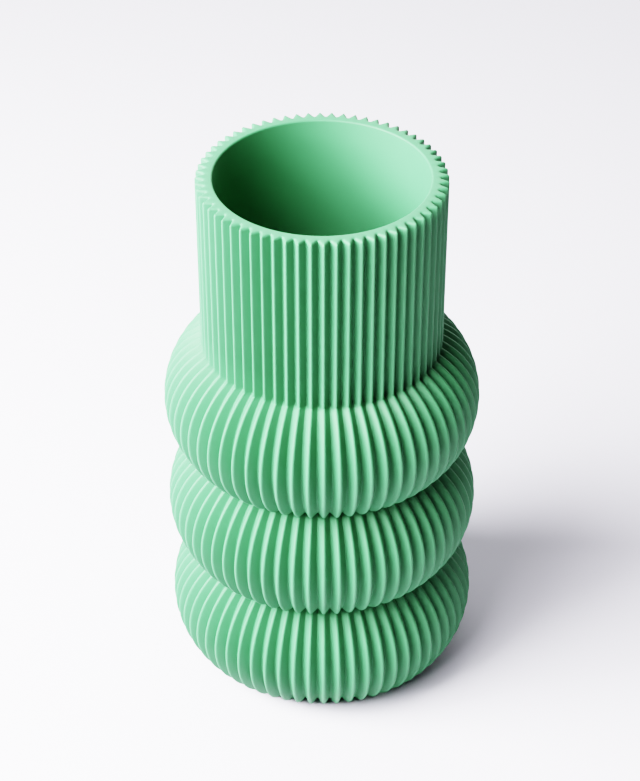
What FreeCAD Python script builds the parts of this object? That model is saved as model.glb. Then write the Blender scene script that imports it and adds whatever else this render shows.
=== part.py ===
import FreeCAD, Part
import math
import os

# A ribbed vase in one piece: a straight round neck standing on three stacked bulges.
# Sharp upright ribs run unbroken from the base to the rim, and the inside is smooth.
# Millimetres. +Z is up and the origin is the centre of the flat base.

# Ribs
RIB_COUNT = 64
RIB_DEPTH = 3.55               # crest to valley on the neck, growing with the bulges
CREST_ROUND = 0.6              # radius of the rounded rib crest on the neck

# Outside, measured over the rib crests
NECK_RADIUS = 50.0
NECK_LENGTH = 77.0
BULGE_COUNT = 3
BULGE_PITCH = 53.0
BULGE_ARC_RADIUS = 32.0
BULGE_ARC_OFFSET = 34.2        # from the vase axis to the centre of the arc

# Inside, floor and rim
WALL = 3.45                    # measured level, from a rib valley to the inside
FLOOR = 4.0
FLOOR_FILLET = 3.0
LIP_ROUND = 0.8                # inner edge of the rim
RIM_CHAMFER = 0.55             # outer edge of the rim, less than CREST_ROUND

SEW_TOLERANCE = 1e-4

# Heights and radii that follow from them
HALF_RIB = math.pi / RIB_COUNT
ROOT_RADIUS = NECK_RADIUS - RIB_DEPTH
ROOT_TO_CREST = ROOT_RADIUS / NECK_RADIUS
HALF_PITCH = BULGE_PITCH / 2
NECK_RISE = math.sqrt(BULGE_ARC_RADIUS**2 - (NECK_RADIUS - BULGE_ARC_OFFSET)**2)
NECK_START = (BULGE_COUNT - 1) * BULGE_PITCH + HALF_PITCH + NECK_RISE
HEIGHT = NECK_START + NECK_LENGTH
WAIST_RADIUS = BULGE_ARC_OFFSET + math.sqrt(BULGE_ARC_RADIUS**2 - HALF_PITCH**2)
BULGE_RADIUS = BULGE_ARC_OFFSET + BULGE_ARC_RADIUS

# The inside of a bulge is one arc through the inside of its widest ring and its waist
MOUTH_RADIUS = ROOT_RADIUS - WALL
INNER_BULGE_RADIUS = BULGE_RADIUS * ROOT_TO_CREST - WALL
INNER_WAIST_RADIUS = WAIST_RADIUS * ROOT_TO_CREST - WALL
INNER_DEPTH = INNER_BULGE_RADIUS - INNER_WAIST_RADIUS
INNER_ARC_RADIUS = (HALF_PITCH**2 + INNER_DEPTH**2) / (2 * INNER_DEPTH)
INNER_ARC_OFFSET = INNER_BULGE_RADIUS - INNER_ARC_RADIUS


def rib_pieces(inset):
    """One rib of the neck section, pulled in by inset, as plane (poles, weights) pieces:
    the flank up from a valley, the rounded crest, and the flank down to the next valley."""
    tip_x = NECK_RADIUS - CREST_ROUND
    root_x = ROOT_RADIUS * math.cos(HALF_RIB)
    root_y = ROOT_RADIUS * math.sin(HALF_RIB)
    reach = math.hypot(tip_x - root_x, root_y)
    slope = math.atan2(root_y, tip_x - root_x) - math.asin(CREST_ROUND / reach)
    radius = CREST_ROUND - inset
    crest_x = tip_x + radius * math.sin(slope)
    crest_y = radius * math.cos(slope)
    corner_x = tip_x + radius / math.sin(slope)
    root = ROOT_RADIUS - inset / math.sin(slope + HALF_RIB)
    root_x = root * math.cos(HALF_RIB)
    root_y = root * math.sin(HALF_RIB)
    return [
        ([(root_x, -root_y), (crest_x, -crest_y)], [1, 1]),
        ([(crest_x, -crest_y), (corner_x, 0), (crest_x, crest_y)], [1, math.sin(slope), 1]),
        ([(crest_x, crest_y), (root_x, root_y)], [1, 1]),
    ]


def section_pieces(inset=0.0):
    """The pieces of every rib, once round the vase."""
    pieces = []
    for rib in range(RIB_COUNT):
        cos_rib = math.cos(2 * HALF_RIB * rib)
        sin_rib = math.sin(2 * HALF_RIB * rib)
        for poles, weights in rib_pieces(inset):
            turned = [(x * cos_rib - y * sin_rib, x * sin_rib + y * cos_rib) for x, y in poles]
            pieces.append((turned, weights))
    return pieces


def section_wire(pieces, scale, z):
    """The ribbed outline at height z: straight flanks and circular crests."""
    edges = []
    for poles, weights in pieces:
        points = [FreeCAD.Vector(x * scale, y * scale, z) for x, y in poles]
        if len(points) == 2:
            edges.append(Part.makeLine(points[0], points[1]))
        else:
            middle = (points[0] + points[1] * (2 * weights[1]) + points[2]) / (2 + 2 * weights[1])
            edges.append(Part.Arc(points[0], middle, points[2]).toShape())
    return Part.Wire(edges)


def bulge_arc(low, high):
    """The crest profile of a bulge from low to high, heights above its widest ring,
    as rational poles (radius over NECK_RADIUS, height) and weights."""
    start = math.asin(low / BULGE_ARC_RADIUS)
    end = math.asin(high / BULGE_ARC_RADIUS)
    middle = (start + end) / 2
    middle_weight = math.cos((end - start) / 2)
    poles = []
    for angle, reach in ((start, 1), (middle, 1 / middle_weight), (end, 1)):
        radius = BULGE_ARC_OFFSET + BULGE_ARC_RADIUS * reach * math.cos(angle)
        poles.append((radius / NECK_RADIUS, BULGE_ARC_RADIUS * reach * math.sin(angle)))
    return poles, [1, middle_weight, 1]


def bulge_face(piece, profile, centre_z):
    """A section piece carried up the bulge profile, growing and shrinking with it."""
    section_poles, section_weights = piece
    profile_poles, profile_weights = profile
    surface = Part.BezierSurface()
    surface.increase(len(section_poles) - 1, len(profile_poles) - 1)
    for u, ((x, y), section_weight) in enumerate(zip(section_poles, section_weights)):
        for v, ((scale, z), profile_weight) in enumerate(zip(profile_poles, profile_weights)):
            pole = FreeCAD.Vector(x * scale, y * scale, centre_z + z)
            surface.setPole(u + 1, v + 1, pole, section_weight * profile_weight)
    return surface.toShape()


def outer_faces():
    """Everything that shows outside, from the base up to the rim chamfer."""
    pieces = section_pieces()
    faces = [Part.Face(section_wire(pieces, WAIST_RADIUS / NECK_RADIUS, 0))]
    for bulge in range(BULGE_COUNT):
        centre_z = HALF_PITCH + bulge * BULGE_PITCH
        top = NECK_RISE if bulge == BULGE_COUNT - 1 else HALF_PITCH
        profile = bulge_arc(-HALF_PITCH, top)
        faces += [bulge_face(piece, profile, centre_z) for piece in pieces]
    neck = section_wire(pieces, 1, NECK_START)
    faces += neck.extrude(FreeCAD.Vector(0, 0, NECK_LENGTH - RIM_CHAMFER)).Faces
    shoulder = section_wire(pieces, 1, HEIGHT - RIM_CHAMFER)
    rim = section_wire(section_pieces(RIM_CHAMFER), 1, HEIGHT)
    for lower, upper in zip(shoulder.Edges, rim.Edges):
        faces.append(Part.makeRuledSurface(lower, upper))
    mouth = Part.Wire(Part.makeCircle(MOUTH_RADIUS + LIP_ROUND, FreeCAD.Vector(0, 0, HEIGHT)))
    faces.append(Part.Face([rim, mouth]))
    return faces


def inner_point(angle, centre_z, radius=INNER_ARC_RADIUS):
    """A point on the inside arc of a bulge, at an angle above its widest ring."""
    return FreeCAD.Vector(INNER_ARC_OFFSET + radius * math.cos(angle), 0,
                          centre_z + radius * math.sin(angle))


def inner_faces():
    """The smooth inside: a flat floor, the bulges, the neck and the rounded lip."""
    fillet_ring = INNER_ARC_RADIUS - FLOOR_FILLET
    fillet_angle = math.asin((FLOOR + FLOOR_FILLET - HALF_PITCH) / fillet_ring)
    fillet_centre = inner_point(fillet_angle, HALF_PITCH, fillet_ring)
    floor_end = fillet_centre - FreeCAD.Vector(0, 0, FLOOR_FILLET)
    sweep = (fillet_angle - math.pi / 2) / 2
    fillet_middle = fillet_centre + FreeCAD.Vector(math.cos(sweep), 0, math.sin(sweep)) * FLOOR_FILLET
    start = inner_point(fillet_angle, HALF_PITCH)
    edges = [
        Part.makeLine(FreeCAD.Vector(0, 0, FLOOR), floor_end),
        Part.Arc(floor_end, fillet_middle, start).toShape(),
    ]
    waist_angle = math.asin(HALF_PITCH / INNER_ARC_RADIUS)
    neck_angle = math.acos((MOUTH_RADIUS - INNER_ARC_OFFSET) / INNER_ARC_RADIUS)
    for bulge in range(BULGE_COUNT):
        centre_z = HALF_PITCH + bulge * BULGE_PITCH
        end = inner_point(neck_angle if bulge == BULGE_COUNT - 1 else waist_angle, centre_z)
        edges.append(Part.Arc(start, inner_point(0, centre_z), end).toShape())
        start = end
    lip_start = FreeCAD.Vector(MOUTH_RADIUS, 0, HEIGHT - LIP_ROUND)
    lip_centre = FreeCAD.Vector(MOUTH_RADIUS + LIP_ROUND, 0, HEIGHT - LIP_ROUND)
    lip_middle = lip_centre + FreeCAD.Vector(-1, 0, 1).normalize() * LIP_ROUND
    lip_end = lip_centre + FreeCAD.Vector(0, 0, LIP_ROUND)
    edges.append(Part.makeLine(start, lip_start))
    edges.append(Part.Arc(lip_start, lip_middle, lip_end).toShape())
    return Part.Wire(edges).revolve(FreeCAD.Vector(), FreeCAD.Vector(0, 0, 1), 360).Faces


skin = Part.Compound(outer_faces() + inner_faces())
skin.sewShape(SEW_TOLERANCE)
vase = Part.Solid(skin.Shells[0])
if vase.Volume < 0:
    vase.reverse()

os.makedirs("parts", exist_ok=True)
vase.exportStep("parts/vase.step")
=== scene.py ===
import math

import bpy
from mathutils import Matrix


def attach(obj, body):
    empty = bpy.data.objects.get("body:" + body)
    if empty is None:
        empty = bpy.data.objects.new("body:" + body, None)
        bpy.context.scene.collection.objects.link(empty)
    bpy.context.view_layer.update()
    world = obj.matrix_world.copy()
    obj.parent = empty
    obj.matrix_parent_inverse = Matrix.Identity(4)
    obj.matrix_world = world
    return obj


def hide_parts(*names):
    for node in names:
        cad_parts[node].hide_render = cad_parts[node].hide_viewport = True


# The looks of a ribbed vase: one fine mesh stands for the CAD node, with rounded rib crests,
# rounded rim edges and the smooth inside. Lengths are in millimetres unless a comment says
# metres, and named angles are in degrees.

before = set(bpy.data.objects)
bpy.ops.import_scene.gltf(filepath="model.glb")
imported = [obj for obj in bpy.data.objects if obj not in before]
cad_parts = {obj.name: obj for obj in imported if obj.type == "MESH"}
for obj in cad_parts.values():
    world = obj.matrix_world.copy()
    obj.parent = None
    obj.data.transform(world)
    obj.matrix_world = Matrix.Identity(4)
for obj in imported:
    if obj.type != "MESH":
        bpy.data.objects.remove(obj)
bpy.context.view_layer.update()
MM = 0.001

# Ribs on the neck. The rounding of the rim pulls the crests in, down to the least radius
RIB_COUNT = 64
RIB_DEPTH = 3.55
CREST_ROUND = 0.6
LEAST_CREST_ROUND = 0.08
VALLEY_ROUND = 0.25

# Outside profile over the crests
NECK_RADIUS = 50.0
NECK_LENGTH = 77.0
BULGE_COUNT = 3
BULGE_PITCH = 53.0
BULGE_ARC_RADIUS = 32.0
BULGE_ARC_OFFSET = 34.2

# Inside, floor and edges
WALL = 3.45
FLOOR = 4.0
FLOOR_FILLET = 3.0
LIP_ROUND = 0.8
RIM_ROUND = 1.1
FOOT_ROUND = 0.3

# How finely the mesh follows them, and the angle past which an edge is shaded sharp
CREST_STEPS = 4
VALLEY_STEPS = 2
FLANK_STOPS = (0.1, 0.9)
BULGE_STEPS = 26
INNER_BULGE_STEPS = 20
NECK_STEPS = 6
EDGE_STEPS = 5
COLUMNS_PER_INNER = 3
SHARP_EDGE = 45

# Plastic: linear colours, clouds and grain in features per metre, and the printed layers,
# with the radians that Blender's wave texture turns per metre at a scale of 1
MINT_DEEP = (0.0305, 0.129, 0.0545)
MINT_PALE = (0.0325, 0.135, 0.0575)
MINT_ROUGHNESS = 0.6
MINT_SPECULAR = 0.22
CLOUD_SCALE = 28.0
CLOUD_DETAIL = 4
GRAIN_SCALE = 1400.0
GRAIN_DETAIL = 2
GRAIN_DEPTH = 0.012
LAYER_HEIGHT = 0.2
LAYER_DEPTH = 0.006
WAVE_TURN = 20.0

# Paper, in linear colours, and how far it reaches from the vase in metres
PAPER_DEEP = (0.5, 0.486, 0.56)
PAPER_PALE = (0.51, 0.496, 0.57)
PAPER_ROUGHNESS = 0.8
PAPER_SPECULAR = 0.2
PAPER_CLOUD_SCALE = 3.0
PAPER_CLOUD_DETAIL = 3
PAPER_REACH = 6.0

# Where on a noise's run from 0 to 1 a colour starts and ends its change
CLOUD_START = 0.3
CLOUD_END = 0.7

# Studio: softboxes, sized and placed in metres, as name, azimuth from the front, elevation and
# watts, and the strength of the room's two glows
SOFTBOX_SIZE = 0.45
SOFTBOX_DISTANCE = 0.9
LAMPS = (
    ("side", -85, 30, 50),
    ("key", -60, 30, 32),
    ("high", -60, 60, 20),
    ("front", -35, 35, 12),
)
BACK_GLOW = 5.2
RIGHT_GLOW = 0.1
GLOW_FALLOFF = 2

# Camera: a long lens above the rim, in front of the vase and a hair to its left
LENS = 99.82
SENSOR_WIDTH = 36
CAMERA_AZIMUTH = -0.93
CAMERA_REACH = 727.35
CAMERA_ABOVE_RIM = 442.87
CAMERA_TILT_DOWN = 37.01
CAMERA_YAW = 0.061

HALF_RIB = math.pi / RIB_COUNT
ROOT_RADIUS = NECK_RADIUS - RIB_DEPTH
HALF_PITCH = BULGE_PITCH / 2
NECK_RISE = math.sqrt(BULGE_ARC_RADIUS**2 - (NECK_RADIUS - BULGE_ARC_OFFSET)**2)
NECK_START = (BULGE_COUNT - 1) * BULGE_PITCH + HALF_PITCH + NECK_RISE
HEIGHT = NECK_START + NECK_LENGTH


def spread(first, last, steps):
    """steps + 1 values from first to last."""
    return [first + (last - first) * step / steps for step in range(steps + 1)]


def rib_outline(inset):
    """One rib of the neck section, pulled in by inset, from valley to valley as (x, y)."""
    tip_x = NECK_RADIUS - CREST_ROUND
    root_x = ROOT_RADIUS * math.cos(HALF_RIB)
    root_y = ROOT_RADIUS * math.sin(HALF_RIB)
    reach = math.hypot(tip_x - root_x, root_y)
    slope = math.atan2(root_y, tip_x - root_x) - math.asin(CREST_ROUND / reach)
    valley = ROOT_RADIUS + VALLEY_ROUND / math.sin(slope + HALF_RIB)
    crest_radius = max(CREST_ROUND - inset, LEAST_CREST_ROUND)
    tip_x -= (inset + crest_radius - CREST_ROUND) / math.sin(slope)
    valley_radius = VALLEY_ROUND + inset
    crest = []
    for angle in spread(0, math.pi / 2 - slope, CREST_STEPS // 2):
        crest.append((tip_x + crest_radius * math.cos(angle), crest_radius * math.sin(angle)))
    low = []
    for angle in spread(3 * math.pi / 2 - slope, math.pi + HALF_RIB, VALLEY_STEPS // 2):
        low.append((valley * math.cos(HALF_RIB) + valley_radius * math.cos(angle),
                    valley * math.sin(HALF_RIB) + valley_radius * math.sin(angle)))
    flank = []
    for stop in FLANK_STOPS:
        flank.append((crest[-1][0] + (low[0][0] - crest[-1][0]) * stop,
                      crest[-1][1] + (low[0][1] - crest[-1][1]) * stop))
    half = crest + flank + low
    return [(x, -y) for x, y in reversed(half)] + half[1:-1]


def outline(inset, scale, z):
    """The ribbed section all round at height z."""
    points = []
    rib = rib_outline(inset)
    for turn in range(RIB_COUNT):
        cos_turn = math.cos(2 * HALF_RIB * turn) * scale
        sin_turn = math.sin(2 * HALF_RIB * turn) * scale
        points += [(x * cos_turn - y * sin_turn, x * sin_turn + y * cos_turn, z) for x, y in rib]
    return points


def circle(radius, z, count):
    """count points round the axis, starting in a valley like the outline."""
    points = []
    for step in range(count):
        angle = 2 * math.pi * step / count - HALF_RIB
        points.append((radius * math.cos(angle), radius * math.sin(angle), z))
    return points


def bulge_centre(bulge):
    """The height of a bulge's widest ring, counting bulges from the foot."""
    return HALF_PITCH + bulge * BULGE_PITCH


def outer_rings():
    """Sections from the foot up to the flat of the rim."""
    foot_scale = (BULGE_ARC_OFFSET + math.sqrt(BULGE_ARC_RADIUS**2 - HALF_PITCH**2)) / NECK_RADIUS
    rings = []
    for angle in spread(0, math.pi / 2, EDGE_STEPS)[:-1]:
        rings.append(outline(FOOT_ROUND * (1 - math.sin(angle)), foot_scale,
                             FOOT_ROUND * (1 - math.cos(angle))))
    foot_angle = math.asin((FOOT_ROUND - HALF_PITCH) / BULGE_ARC_RADIUS)
    waist_angle = math.asin(HALF_PITCH / BULGE_ARC_RADIUS)
    for bulge in range(BULGE_COUNT):
        first = foot_angle if bulge == 0 else -waist_angle
        last = math.asin(NECK_RISE / BULGE_ARC_RADIUS) if bulge == BULGE_COUNT - 1 else waist_angle
        angles = spread(first, last, BULGE_STEPS)
        for angle in angles if bulge == 0 else angles[1:]:
            radius = BULGE_ARC_OFFSET + BULGE_ARC_RADIUS * math.cos(angle)
            z = bulge_centre(bulge) + BULGE_ARC_RADIUS * math.sin(angle)
            rings.append(outline(0, radius / NECK_RADIUS, z))
    for z in spread(NECK_START, HEIGHT - RIM_ROUND, NECK_STEPS)[1:]:
        rings.append(outline(0, 1, z))
    for angle in spread(0, math.pi / 2, EDGE_STEPS)[1:]:
        rings.append(outline(RIM_ROUND * (1 - math.cos(angle)), 1,
                             HEIGHT - RIM_ROUND + RIM_ROUND * math.sin(angle)))
    return rings


def inner_profile():
    """(radius, z) from the lip down the neck, through the bulges, to the floor."""
    mouth = ROOT_RADIUS - WALL
    root_share = ROOT_RADIUS / NECK_RADIUS
    widest = (BULGE_ARC_OFFSET + BULGE_ARC_RADIUS) * root_share - WALL
    waist = (BULGE_ARC_OFFSET + math.sqrt(BULGE_ARC_RADIUS**2 - HALF_PITCH**2)) * root_share - WALL
    depth = widest - waist
    arc_radius = (HALF_PITCH**2 + depth**2) / (2 * depth)
    arc_offset = widest - arc_radius
    fillet_angle = math.asin((FLOOR + FLOOR_FILLET - HALF_PITCH) / (arc_radius - FLOOR_FILLET))
    fillet_radius = arc_offset + (arc_radius - FLOOR_FILLET) * math.cos(fillet_angle)
    waist_angle = math.asin(HALF_PITCH / arc_radius)
    neck_angle = math.acos((mouth - arc_offset) / arc_radius)
    profile = []
    for angle in spread(math.pi / 2, math.pi, EDGE_STEPS):
        profile.append((mouth + LIP_ROUND + LIP_ROUND * math.cos(angle),
                        HEIGHT - LIP_ROUND + LIP_ROUND * math.sin(angle)))
    neck_foot = bulge_centre(BULGE_COUNT - 1) + arc_radius * math.sin(neck_angle)
    for z in spread(HEIGHT - LIP_ROUND, neck_foot, NECK_STEPS)[1:]:
        profile.append((mouth, z))
    for bulge in reversed(range(BULGE_COUNT)):
        first = neck_angle if bulge == BULGE_COUNT - 1 else waist_angle
        last = fillet_angle if bulge == 0 else -waist_angle
        for angle in spread(first, last, INNER_BULGE_STEPS)[1:]:
            profile.append((arc_offset + arc_radius * math.cos(angle),
                            bulge_centre(bulge) + arc_radius * math.sin(angle)))
    for angle in spread(fillet_angle, -math.pi / 2, EDGE_STEPS)[1:]:
        profile.append((fillet_radius + FLOOR_FILLET * math.cos(angle),
                        FLOOR + FLOOR_FILLET + FLOOR_FILLET * math.sin(angle)))
    profile.append((fillet_radius / 2, FLOOR))
    return profile


def build_vase():
    """The whole skin as one closed mesh: foot, ribs, rim, lip, inside and floor."""
    outer = outer_rings()
    columns = len(outer[0])
    inner_count = columns // COLUMNS_PER_INNER
    inner = [circle(radius, z, inner_count) for radius, z in inner_profile()]
    points = []
    faces = []

    def add_ring(ring):
        start = len(points)
        points.extend(ring)
        return start

    def join(low, high, count):
        for step in range(count):
            after = (step + 1) % count
            faces.append((low + step, low + after, high + after, high + step))

    starts = [add_ring(ring) for ring in outer]
    for low, high in zip(starts, starts[1:]):
        join(low, high, columns)
    lip = add_ring(inner[0])
    for step in range(inner_count):
        first = step * COLUMNS_PER_INNER
        edge = [starts[-1] + (first + k) % columns for k in range(COLUMNS_PER_INNER + 1)]
        faces.append((*edge, lip + (step + 1) % inner_count, lip + step))
    starts_in = [lip] + [add_ring(ring) for ring in inner[1:]]
    for low, high in zip(starts_in, starts_in[1:]):
        join(low, high, inner_count)
    floor_centre = len(points)
    points.append((0, 0, FLOOR))
    for step in range(inner_count):
        faces.append((starts_in[-1] + step, starts_in[-1] + (step + 1) % inner_count, floor_centre))
    under = add_ring(circle(ROOT_RADIUS / 2, 0, inner_count))
    for step in range(inner_count):
        first = step * COLUMNS_PER_INNER
        edge = [starts[0] + (first + k) % columns for k in range(COLUMNS_PER_INNER + 1)]
        faces.append((*reversed(edge), under + step, under + (step + 1) % inner_count))
    under_centre = len(points)
    points.append((0, 0, 0))
    for step in range(inner_count):
        faces.append((under + (step + 1) % inner_count, under + step, under_centre))

    mesh = bpy.data.meshes.new("ribbed_vase")
    mesh.from_pydata([(x * MM, y * MM, z * MM) for x, y, z in points], [], faces)
    mesh.polygons.foreach_set("use_smooth", [True] * len(mesh.polygons))
    mesh.set_sharp_from_angle(angle=math.radians(SHARP_EDGE))
    mesh.validate()
    vase = bpy.data.objects.new("ribbed_vase", mesh)
    bpy.context.scene.collection.objects.link(vase)
    return vase


def new_material(name):
    """A material with its nodes, its links and its main shader."""
    material = bpy.data.materials.new(name)
    material.use_nodes = True
    nodes = material.node_tree.nodes
    return material, nodes, material.node_tree.links, nodes["Principled BSDF"]


def noise(nodes, links, place, scale, detail):
    """Cloud noise in the object's own metres."""
    node = nodes.new("ShaderNodeTexNoise")
    node.inputs["Scale"].default_value = scale
    node.inputs["Detail"].default_value = detail
    links.new(place.outputs["Object"], node.inputs["Vector"])
    return node.outputs["Fac"]


def between(nodes, links, amount, first, last):
    """A colour that runs from first to last as amount goes from CLOUD_START to CLOUD_END."""
    ramp = nodes.new("ShaderNodeValToRGB")
    ramp.color_ramp.elements[0].position = CLOUD_START
    ramp.color_ramp.elements[0].color = (*first, 1)
    ramp.color_ramp.elements[1].position = CLOUD_END
    ramp.color_ramp.elements[1].color = (*last, 1)
    links.new(amount, ramp.inputs["Fac"])
    return ramp.outputs["Color"]


def bump(nodes, links, height, depth):
    """A bump node for a height field that is depth millimetres deep."""
    node = nodes.new("ShaderNodeBump")
    node.inputs["Distance"].default_value = depth * MM
    links.new(height, node.inputs["Height"])
    return node


def mint_plastic():
    """Matte mint printed plastic: level print layers, a fine grain and a faint cloudy tone."""
    material, nodes, links, shader = new_material("mint_plastic")
    place = nodes.new("ShaderNodeTexCoord")
    clouds = noise(nodes, links, place, CLOUD_SCALE, CLOUD_DETAIL)
    links.new(between(nodes, links, clouds, MINT_DEEP, MINT_PALE), shader.inputs["Base Color"])
    layers = nodes.new("ShaderNodeTexWave")
    layers.bands_direction = "Z"
    layers.inputs["Scale"].default_value = 2 * math.pi / (WAVE_TURN * LAYER_HEIGHT * MM)
    links.new(place.outputs["Object"], layers.inputs["Vector"])
    specks = noise(nodes, links, place, GRAIN_SCALE, GRAIN_DETAIL)
    grain = bump(nodes, links, specks, GRAIN_DEPTH)
    ridges = bump(nodes, links, layers.outputs["Fac"], LAYER_DEPTH)
    links.new(grain.outputs["Normal"], ridges.inputs["Normal"])
    links.new(ridges.outputs["Normal"], shader.inputs["Normal"])
    shader.inputs["Roughness"].default_value = MINT_ROUGHNESS
    shader.inputs["Specular IOR Level"].default_value = MINT_SPECULAR
    return material


def pale_floor():
    """Matte paper with a barely uneven tone."""
    material, nodes, links, shader = new_material("pale_floor")
    place = nodes.new("ShaderNodeTexCoord")
    clouds = noise(nodes, links, place, PAPER_CLOUD_SCALE, PAPER_CLOUD_DETAIL)
    links.new(between(nodes, links, clouds, PAPER_DEEP, PAPER_PALE), shader.inputs["Base Color"])
    shader.inputs["Roughness"].default_value = PAPER_ROUGHNESS
    shader.inputs["Specular IOR Level"].default_value = PAPER_SPECULAR
    return material


def add_floor():
    """The paper the vase stands on, level with its base."""
    mesh = bpy.data.meshes.new("floor")
    corners = [(x * PAPER_REACH, y * PAPER_REACH, 0) for x, y in ((-1, -1), (1, -1), (1, 1), (-1, 1))]
    mesh.from_pydata(corners, [], [(0, 1, 2, 3)])
    floor = bpy.data.objects.new("floor", mesh)
    bpy.context.scene.collection.objects.link(floor)
    mesh.materials.append(pale_floor())


def around(azimuth, elevation, distance, height):
    """A place at distance from the axis point at height; azimuth 0 is in front, at -Y."""
    level = distance * math.cos(elevation)
    rise = distance * math.sin(elevation)
    return (level * math.sin(azimuth), -level * math.cos(azimuth), height + rise)


def add_area(name, azimuth, elevation, power):
    """A round softbox, turned to the middle of the vase."""
    data = bpy.data.lights.new(name, "AREA")
    data.shape = "DISK"
    data.size = SOFTBOX_SIZE
    data.energy = power
    lamp = bpy.data.objects.new(name, data)
    lamp.location = around(math.radians(azimuth), math.radians(elevation), SOFTBOX_DISTANCE,
                           HEIGHT * MM / 2)
    lamp.rotation_euler = (math.radians(90 - elevation), 0, math.radians(azimuth))
    bpy.context.scene.collection.objects.link(lamp)


def add_camera():
    """The camera, tilted down at the vase."""
    azimuth = math.radians(CAMERA_AZIMUTH)
    yaw = math.radians(CAMERA_YAW)
    data = bpy.data.cameras.new("camera")
    data.lens = LENS
    data.sensor_width = SENSOR_WIDTH
    camera = bpy.data.objects.new("camera", data)
    camera.location = (CAMERA_REACH * math.sin(azimuth) * MM,
                       -CAMERA_REACH * math.cos(azimuth) * MM,
                       (HEIGHT + CAMERA_ABOVE_RIM) * MM)
    camera.rotation_euler = (math.radians(90 - CAMERA_TILT_DOWN), 0, azimuth + yaw)
    bpy.context.scene.collection.objects.link(camera)
    bpy.context.scene.camera = camera


def glow(nodes, links, towards, strength):
    """A broad soft glow on the side of the room that lies towards a direction."""
    place = nodes.new("ShaderNodeTexCoord")
    facing = nodes.new("ShaderNodeVectorMath")
    facing.operation = "DOT_PRODUCT"
    facing.inputs[1].default_value = towards
    links.new(place.outputs["Generated"], facing.inputs[0])
    front = nodes.new("ShaderNodeMath")
    front.operation = "MAXIMUM"
    links.new(facing.outputs["Value"], front.inputs[0])
    front.inputs[1].default_value = 0
    falloff = nodes.new("ShaderNodeMath")
    falloff.operation = "POWER"
    links.new(front.outputs["Value"], falloff.inputs[0])
    falloff.inputs[1].default_value = GLOW_FALLOFF
    gain = nodes.new("ShaderNodeMath")
    gain.operation = "MULTIPLY"
    links.new(falloff.outputs["Value"], gain.inputs[0])
    gain.inputs[1].default_value = strength
    return gain.outputs["Value"]


def add_world():
    """A dim room with a bright wall far behind the vase and a faint one on the right."""
    world = bpy.data.worlds.new("studio")
    world.use_nodes = True
    nodes = world.node_tree.nodes
    links = world.node_tree.links
    total = nodes.new("ShaderNodeMath")
    total.operation = "ADD"
    links.new(glow(nodes, links, (0, 1, 0), BACK_GLOW), total.inputs[0])
    links.new(glow(nodes, links, (1, 0, 0), RIGHT_GLOW), total.inputs[1])
    background = nodes["Background"]
    background.inputs["Color"].default_value = (1, 1, 1, 1)
    links.new(total.outputs["Value"], background.inputs["Strength"])
    bpy.context.scene.world = world


vase = build_vase()
vase.data.materials.append(mint_plastic())
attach(vase, "root")
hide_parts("vase")

add_floor()
add_world()
for name, azimuth, elevation, power in LAMPS:
    add_area(name, azimuth, elevation, power)
add_camera()
bpy.context.scene.view_settings.view_transform = "Filmic"
bpy.context.scene.view_settings.look = "High Contrast"
